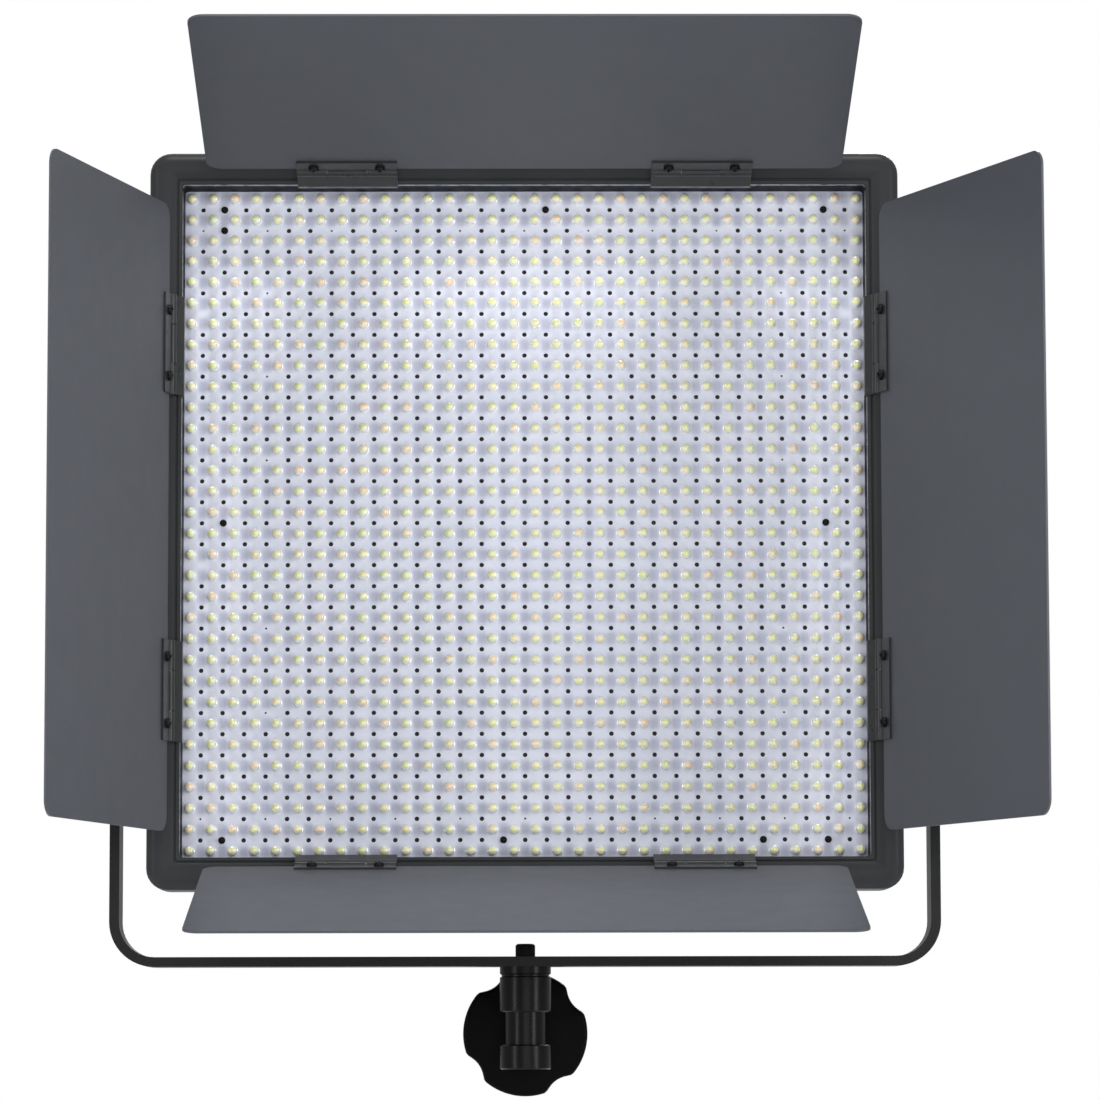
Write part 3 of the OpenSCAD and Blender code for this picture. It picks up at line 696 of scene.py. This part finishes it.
def led_emitters():
    """Round lenses in rows, each on its seating flange."""
    low, high = box_mm("led_emitters")
    height = high.y - low.y
    half = (LED_COUNT - 1) / 2
    radius = high.x - half * LED_PITCH_X
    flange, crown, tip, steps = radius + 0.2, 1.0, 0.3, 5
    rings = [(flange, 0.0), (flange, 0.5), (radius, 0.6), (radius, height - crown - 0.3)]
    for k in range(1, steps):
        share = 1 - k / steps
        rings.append(((radius - 0.1) * share ** 0.5, height - crown * share ** 1.3))
    rings.append((tip, height))
    build = Build()
    for i in range(LED_COUNT):
        for j in range(LED_COUNT):
            at = ((i - half) * LED_PITCH_X, high.y, HEAD_Z + (j - half) * LED_PITCH_Z)
            build.turned(rings, at, FRONT, 14)
    build.piece("led_lenses", "led_emitters", smooth=50)


def screws(name, node, axis, seat_y, radius, height, shank_r):
    """Cross-head screws where a CAD node has its own."""
    low, high = box_mm(node)
    shank = high.y - seat_y if axis.y < 0 else seat_y - low.y
    build = Build()
    for corners in solids(node):
        at = middle(corners)
        screw(build, (at.x, seat_y, at.z), axis, radius, height, shank_r, shank)
    build.piece(name, node)


# ---------------------------------------------------------------- the barn doors

def into_beam(side):
    """Direction of the door's inner face at rest."""
    door = frame["nodes"][f"{side}_door"].data
    normal = max(door.polygons, key=lambda face: face.area).normal.copy()
    x, _, z = middle([v.co / MM for v in door.vertices])
    return normal if normal.dot(Vector((-x, 0, HEAD_Z - z))) > 0 else -normal


def door_screws(side):
    """Screws through the hinge plates: a cross head inside and a riveted end outside."""
    radius, shank_r, head, tail = 2.6, 1.5, 1.8, 0.8
    axis = into_beam(side)
    build = Build()
    for corners in solids(f"{side}_door_rivets"):
        heights = [p.dot(axis) for p in corners]
        centre = sum(corners, Vector()) / len(corners)
        seat = centre + axis * (max(heights) - head - centre.dot(axis))
        end = centre + axis * (min(heights) + tail - centre.dot(axis))
        screw(build, seat, axis, radius, head, shank_r, (seat - end).length)
        rivet = [*domed(radius, tail, 0.5), (radius * 0.2, tail)]
        build.turned(rivet, end, -axis, 24)
    build.piece(f"{side}_door_screws", f"{side}_door_rivets")


# ---------------------------------------------------------------- knobs and controls

def axis_of(joint):
    """The joint's centre in millimetres and its axis."""
    return Vector(JOINTS[joint]["pos_m"]) / MM, Vector(JOINTS[joint]["axis"])


def grip_knob(name, node, joint, outline, start, hub_l):
    """A moulded knob: a hub, then a lobed grip with rounded edges and a dished face."""
    grip_l, hub_r = 17.0, 10.0
    origin, axis = axis_of(joint)
    origin -= axis * origin.dot(axis)
    grip, end = start + hub_l, start + hub_l + grip_l
    chamfer, back_edge, front_edge, rim, dish = 0.8, 2.0, 2.6, 6.0, 0.9
    rings = [(hub_r - chamfer, start), (hub_r, start + chamfer), (hub_r, grip)]
    rings += rounding(outline, grip, back_edge, 4, rising=False)
    rings += rounding(outline, end, front_edge, 5)
    rings += [(inner(outline, rim), end), (inner(outline, rim + 0.6), end - 0.5), (hub_r + 1.2, end - dish)]
    rings += [(hub_r - 1.4, end - dish), (hub_r - 1.8, end - 0.2), (hub_r - 2.4, end), (hub_r * 0.3, end)]
    build = Build()
    build.turned(rings, origin, axis, 120)
    build.piece(name, node)


def dial(node, joint):
    """A knurled dial with a pointer line set in its face."""
    origin, axis = axis_of(joint)
    low, high = box_mm(node)
    radius, length, spindle_r = (high.x - low.x) / 2, 12.0, 3.0
    face, top = high.y - length, high.y
    grip, dish = knurled(radius, 40, 0.7), 0.3
    rings = [(spindle_r, low.y), (spindle_r, face)]
    rings += [(radius - 0.6, face), (radius, face + 0.5), (radius, face + 1.6)]
    rings += [(grip, face + 2.1), (grip, top - 2.0), (inner(grip, 0.5), top - 1.2)]
    rings += [(radius - 1.5, top - 0.4), (radius - 2.6, top), (radius - 3.4, top - dish), (1.0, top - dish)]
    build = Build()
    build.turned(rings, (origin.x, 0, origin.z), axis, 160)
    build.piece(f"{node}_knurled", node)
    line = Build()
    line_depth, line_middle = 0.35, radius - 5.2
    at = Vector((origin.x, top - line_depth, origin.z + line_middle))
    line.turned(rounding(rounded_bar(0.45, 1.9), 0.3, 0.15, 2), at, axis, 24)
    line.piece(f"{node}_pointer", node, replaces=False, material=FINISHES["pointer"])


def rounded_bar(half_w, half_l):
    """Outline of a short bar with round ends, its length along the second axis."""
    def outline(a):
        return 1 / ((abs(math.cos(a)) / half_w) ** 4 + (abs(math.sin(a)) / half_l) ** 4) ** 0.25
    return outline


def push_button(name):
    """A rubber key with a rounded rim and a shallow dish."""
    node = f"{name}_button"
    low, high = box_mm(node)
    radius = (high.x - low.x) / 2
    at = ((low.x + high.x) / 2, 0, (low.z + high.z) / 2)
    rings = [(radius, low.y), *rounding(radius, high.y, 0.8), (radius - 1.3, high.y)]
    rings += [(radius - 2.4, high.y - 0.25), (0.5, high.y - 0.3)]
    build = Build()
    build.turned(rings, at, BACK, 40)
    build.piece(f"{name}_key", node)


def socket_cap_screw():
    """The knurled cap screw that holds the stand socket to the yoke."""
    low, high = box_mm("socket_screw")
    radius, head, shank_r, recess = (high.x - low.x) / 2, 6.6, 3.0, 3.2
    seat = high.z - head
    knurl = knurled(radius, 36, 0.25)
    rings = [(shank_r - 0.4, low.z), (shank_r, low.z + 0.4), (shank_r, seat)]
    rings += [(radius - 0.2, seat), (knurl, seat + 0.3), (knurl, high.z - 0.9)]
    rings += [(radius - 0.6, high.z - 0.3), (radius - 0.9, high.z)]
    rings += [(hexagon(2.5), high.z), (hexagon(2.4), high.z - recess)]
    build = Build()
    build.turned(rings, (0, 0, 0), (0, 0, 1), 144)
    build.piece("socket_cap_screw", "socket_screw")


# ---------------------------------------------------------------- CAD nodes that stay

def soften(node, width, segments=2, shade_edge_finish=None):
    """Small rounded edges on a CAD node, made by modifiers that leave its own mesh alone."""
    obj = frame["nodes"][node]
    custom = obj.data.attributes.get("custom_normal")
    if custom:
        obj.data.attributes.remove(custom)
    obj.data.shade_smooth()
    weld = obj.modifiers.new("weld", "WELD")
    weld.merge_threshold = 0.002 * MM
    flat = obj.modifiers.new("flat", "DECIMATE")
    flat.decimate_type = "DISSOLVE"
    flat.angle_limit = math.radians(0.5)
    edge = obj.modifiers.new("edge", "BEVEL")
    edge.width = width * MM
    edge.segments = segments
    edge.limit_method = "ANGLE"
    edge.angle_limit = math.radians(40)
    # A finish given here goes on the bevels; the doors and hinge plates get a much darker one there, which is
    # painted shade.
    if shade_edge_finish:
        obj.data.materials.append(FINISHES[shade_edge_finish])
        edge.material = 1
    obj.modifiers.new("normals", "WEIGHTED_NORMAL").keep_sharp = True


def finish_cad_nodes():
    """Gives every CAD node its slot's finish."""
    for name, obj in frame["nodes"].items():
        obj.data.materials.clear()
        obj.data.materials.append(FINISHES[SLOTS[name]])


# Edge roundings in millimetres and the CAD nodes that get them.
SOFT_EDGES = {
    0.8: ("yoke_bracket",),
    0.5: (
        "rear_cover", "control_panel", "battery_plate", "battery_latch", "power_switch_frame",
        "display_window",
    ),
    0.3: ("stand_socket", "power_rocker", "dc_socket"),
    0.2: (
        "friction_washers", "knob_washers", "clamp_pad", "clamp_screw", "left_tilt_screw", "right_tilt_screw",
        "heat_sink", "driver_board", "driver_parts", "side_rails", "control_board", "display_module",
        "dial_encoders", "battery_contacts",
        *(f"{side}_hinge_{part}" for side in SIDES for part in ("bases", "pins")),
    ),
}


# ---------------------------------------------------------------- camera, light and floor

def camera():
    """The product view from in front and slightly below the head."""
    place, lens = Vector((-7.26, -2513, 3.44)) * MM, 160.97
    pitch, yaw, roll = (math.radians(angle) for angle in (5.9498, 0.4625, -0.128))
    data = bpy.data.cameras.new("camera")
    data.lens, data.sensor_width = lens, 36
    data.clip_start, data.clip_end = 0.05, 100
    obj = bpy.data.objects.new("camera", data)
    lift = Matrix.Rotation(math.pi / 2 + pitch, 3, "X")
    turn = Matrix.Rotation(-yaw, 3, "Z") @ lift @ Matrix.Rotation(roll, 3, "Z")
    obj.matrix_world = Matrix.Translation(place) @ turn.to_4x4()
    bpy.context.scene.collection.objects.link(obj)
    bpy.context.scene.camera = obj


# Place, width and height in metres, and power in watts.
SOFTBOXES = {
    "front": ((0.3, -3.2, 0.6), 1.8, 1.4, 17),
    "key": ((0.0, -1.1, 3.0), 1.2, 0.8, 66),
    "left": ((-2.0, -1.7, 0.5), 0.4, 1.6, 13),
    "right": ((2.0, -1.7, 0.5), 0.4, 1.6, 19),
    "rim": ((0.4, 1.8, 1.6), 1.2, 0.8, 42),
}


def softbox(name, place, width, height, power):
    """An area light that faces the middle of the head."""
    target = (0, 0, 0.28)
    data = bpy.data.lights.new(name, "AREA")
    data.shape, data.size, data.size_y, data.energy = "RECTANGLE", width, height, power
    obj = bpy.data.objects.new(name, data)
    aim = (Vector(target) - Vector(place)).to_track_quat("-Z", "Y")
    obj.matrix_world = Matrix.Translation(place) @ aim.to_matrix().to_4x4()
    bpy.context.scene.collection.objects.link(obj)


def world():
    """Surroundings that light the head more from above than from below, and that look plain white."""
    made = bpy.data.worlds.new("studio")
    made.use_nodes = True
    nodes, links = made.node_tree.nodes, made.node_tree.links
    shade, plain = nodes["Background"], nodes.new("ShaderNodeBackground")
    plain.inputs["Color"].default_value = (1, 1, 1, 1)
    coord, split = nodes.new("ShaderNodeTexCoord"), nodes.new("ShaderNodeSeparateXYZ")
    links.new(coord.outputs["Generated"], split.inputs[0])
    level = nodes.new("ShaderNodeMapRange")
    for name, value in (("From Min", -1), ("From Max", 1), ("To Min", 0.2), ("To Max", 0.6)):
        level.inputs[name].default_value = value
    links.new(split.outputs["Z"], level.inputs["Value"])
    links.new(level.outputs[0], shade.inputs["Strength"])
    shade.inputs["Color"].default_value = (0.97, 0.98, 1.0, 1)
    path, mix = nodes.new("ShaderNodeLightPath"), nodes.new("ShaderNodeMixShader")
    links.new(path.outputs["Is Camera Ray"], mix.inputs[0])
    links.new(shade.outputs[0], mix.inputs[1])
    links.new(plain.outputs[0], mix.inputs[2])
    links.new(mix.outputs[0], nodes["World Output"].inputs["Surface"])
    bpy.context.scene.world = made
    bpy.context.scene.view_settings.view_transform = "Standard"


def pale_floor():
    """A pale floor far enough below the head to stay out of the product view."""
    half, z = 6.0, -0.42
    corners = [(x * half, y * half, z) for x, y in ((-1, -1), (1, -1), (1, 1), (-1, 1))]
    mesh = bpy.data.meshes.new("floor")
    mesh.from_pydata(corners, [], [(0, 1, 2, 3)])
    mesh.materials.append(floor_look())
    obj = bpy.data.objects.new("floor", mesh)
    bpy.context.scene.collection.objects.link(obj)


# ---------------------------------------------------------------- putting it together

def knobs():
    """The stand clamp's knob and the two tilt knobs."""
    clamp_grooves = scalloped(32, 4, math.radians(-34), 41.7, 13)
    grip_knob("clamp_knob_lobed", "clamp_knob", "clamp_knob_turn", clamp_grooves, start=21.5, hub_l=5.5)
    tilt_grooves = scalloped(19, 6, 0, 22, 6)
    for hand in ("left", "right"):
        node, joint = f"{hand}_tilt_knob", f"{hand}_tilt_knob_turn"
        grip_knob(f"{node}_lobed", node, joint, tilt_grooves, start=212.5, hub_l=6)


def controls():
    """The rear panel's dials and keys."""
    for name in ("brightness", "colour"):
        dial(f"{name}_dial", f"{name}_dial_turn")
    for name in ("menu", "mode", "down", "up"):
        push_button(name)


def soft_edges():
    """Roundings on the CAD nodes that stay."""
    for width, nodes in SOFT_EDGES.items():
        for node in nodes:
            soften(node, width)
    for side in SIDES:
        # The doors and hinge plates get much darker bevels: painted shade along their edges.
        soften(f"{side}_door", 0.5, 3, "edge_shade_paint")
        soften(f"{side}_hinge_plates", 0.3, 2, "edge_shade_paint")


finish_cad_nodes()
front_bezel()
led_board()
led_emitters()
screws("board_screw_heads", "board_screws", FRONT, BOARD_Y, radius=1.8, height=1.6, shank_r=1.5)
cover_back = box_mm("rear_cover")[1].y
screws("rear_screw_heads", "rear_screws", BACK, cover_back, radius=3.0, height=1.8, shank_r=1.5)
for side in SIDES:
    door_screws(side)
knobs()
controls()
socket_cap_screw()
soft_edges()
world()
pale_floor()
for name, setting in SOFTBOXES.items():
    softbox(name, *setting)
camera()
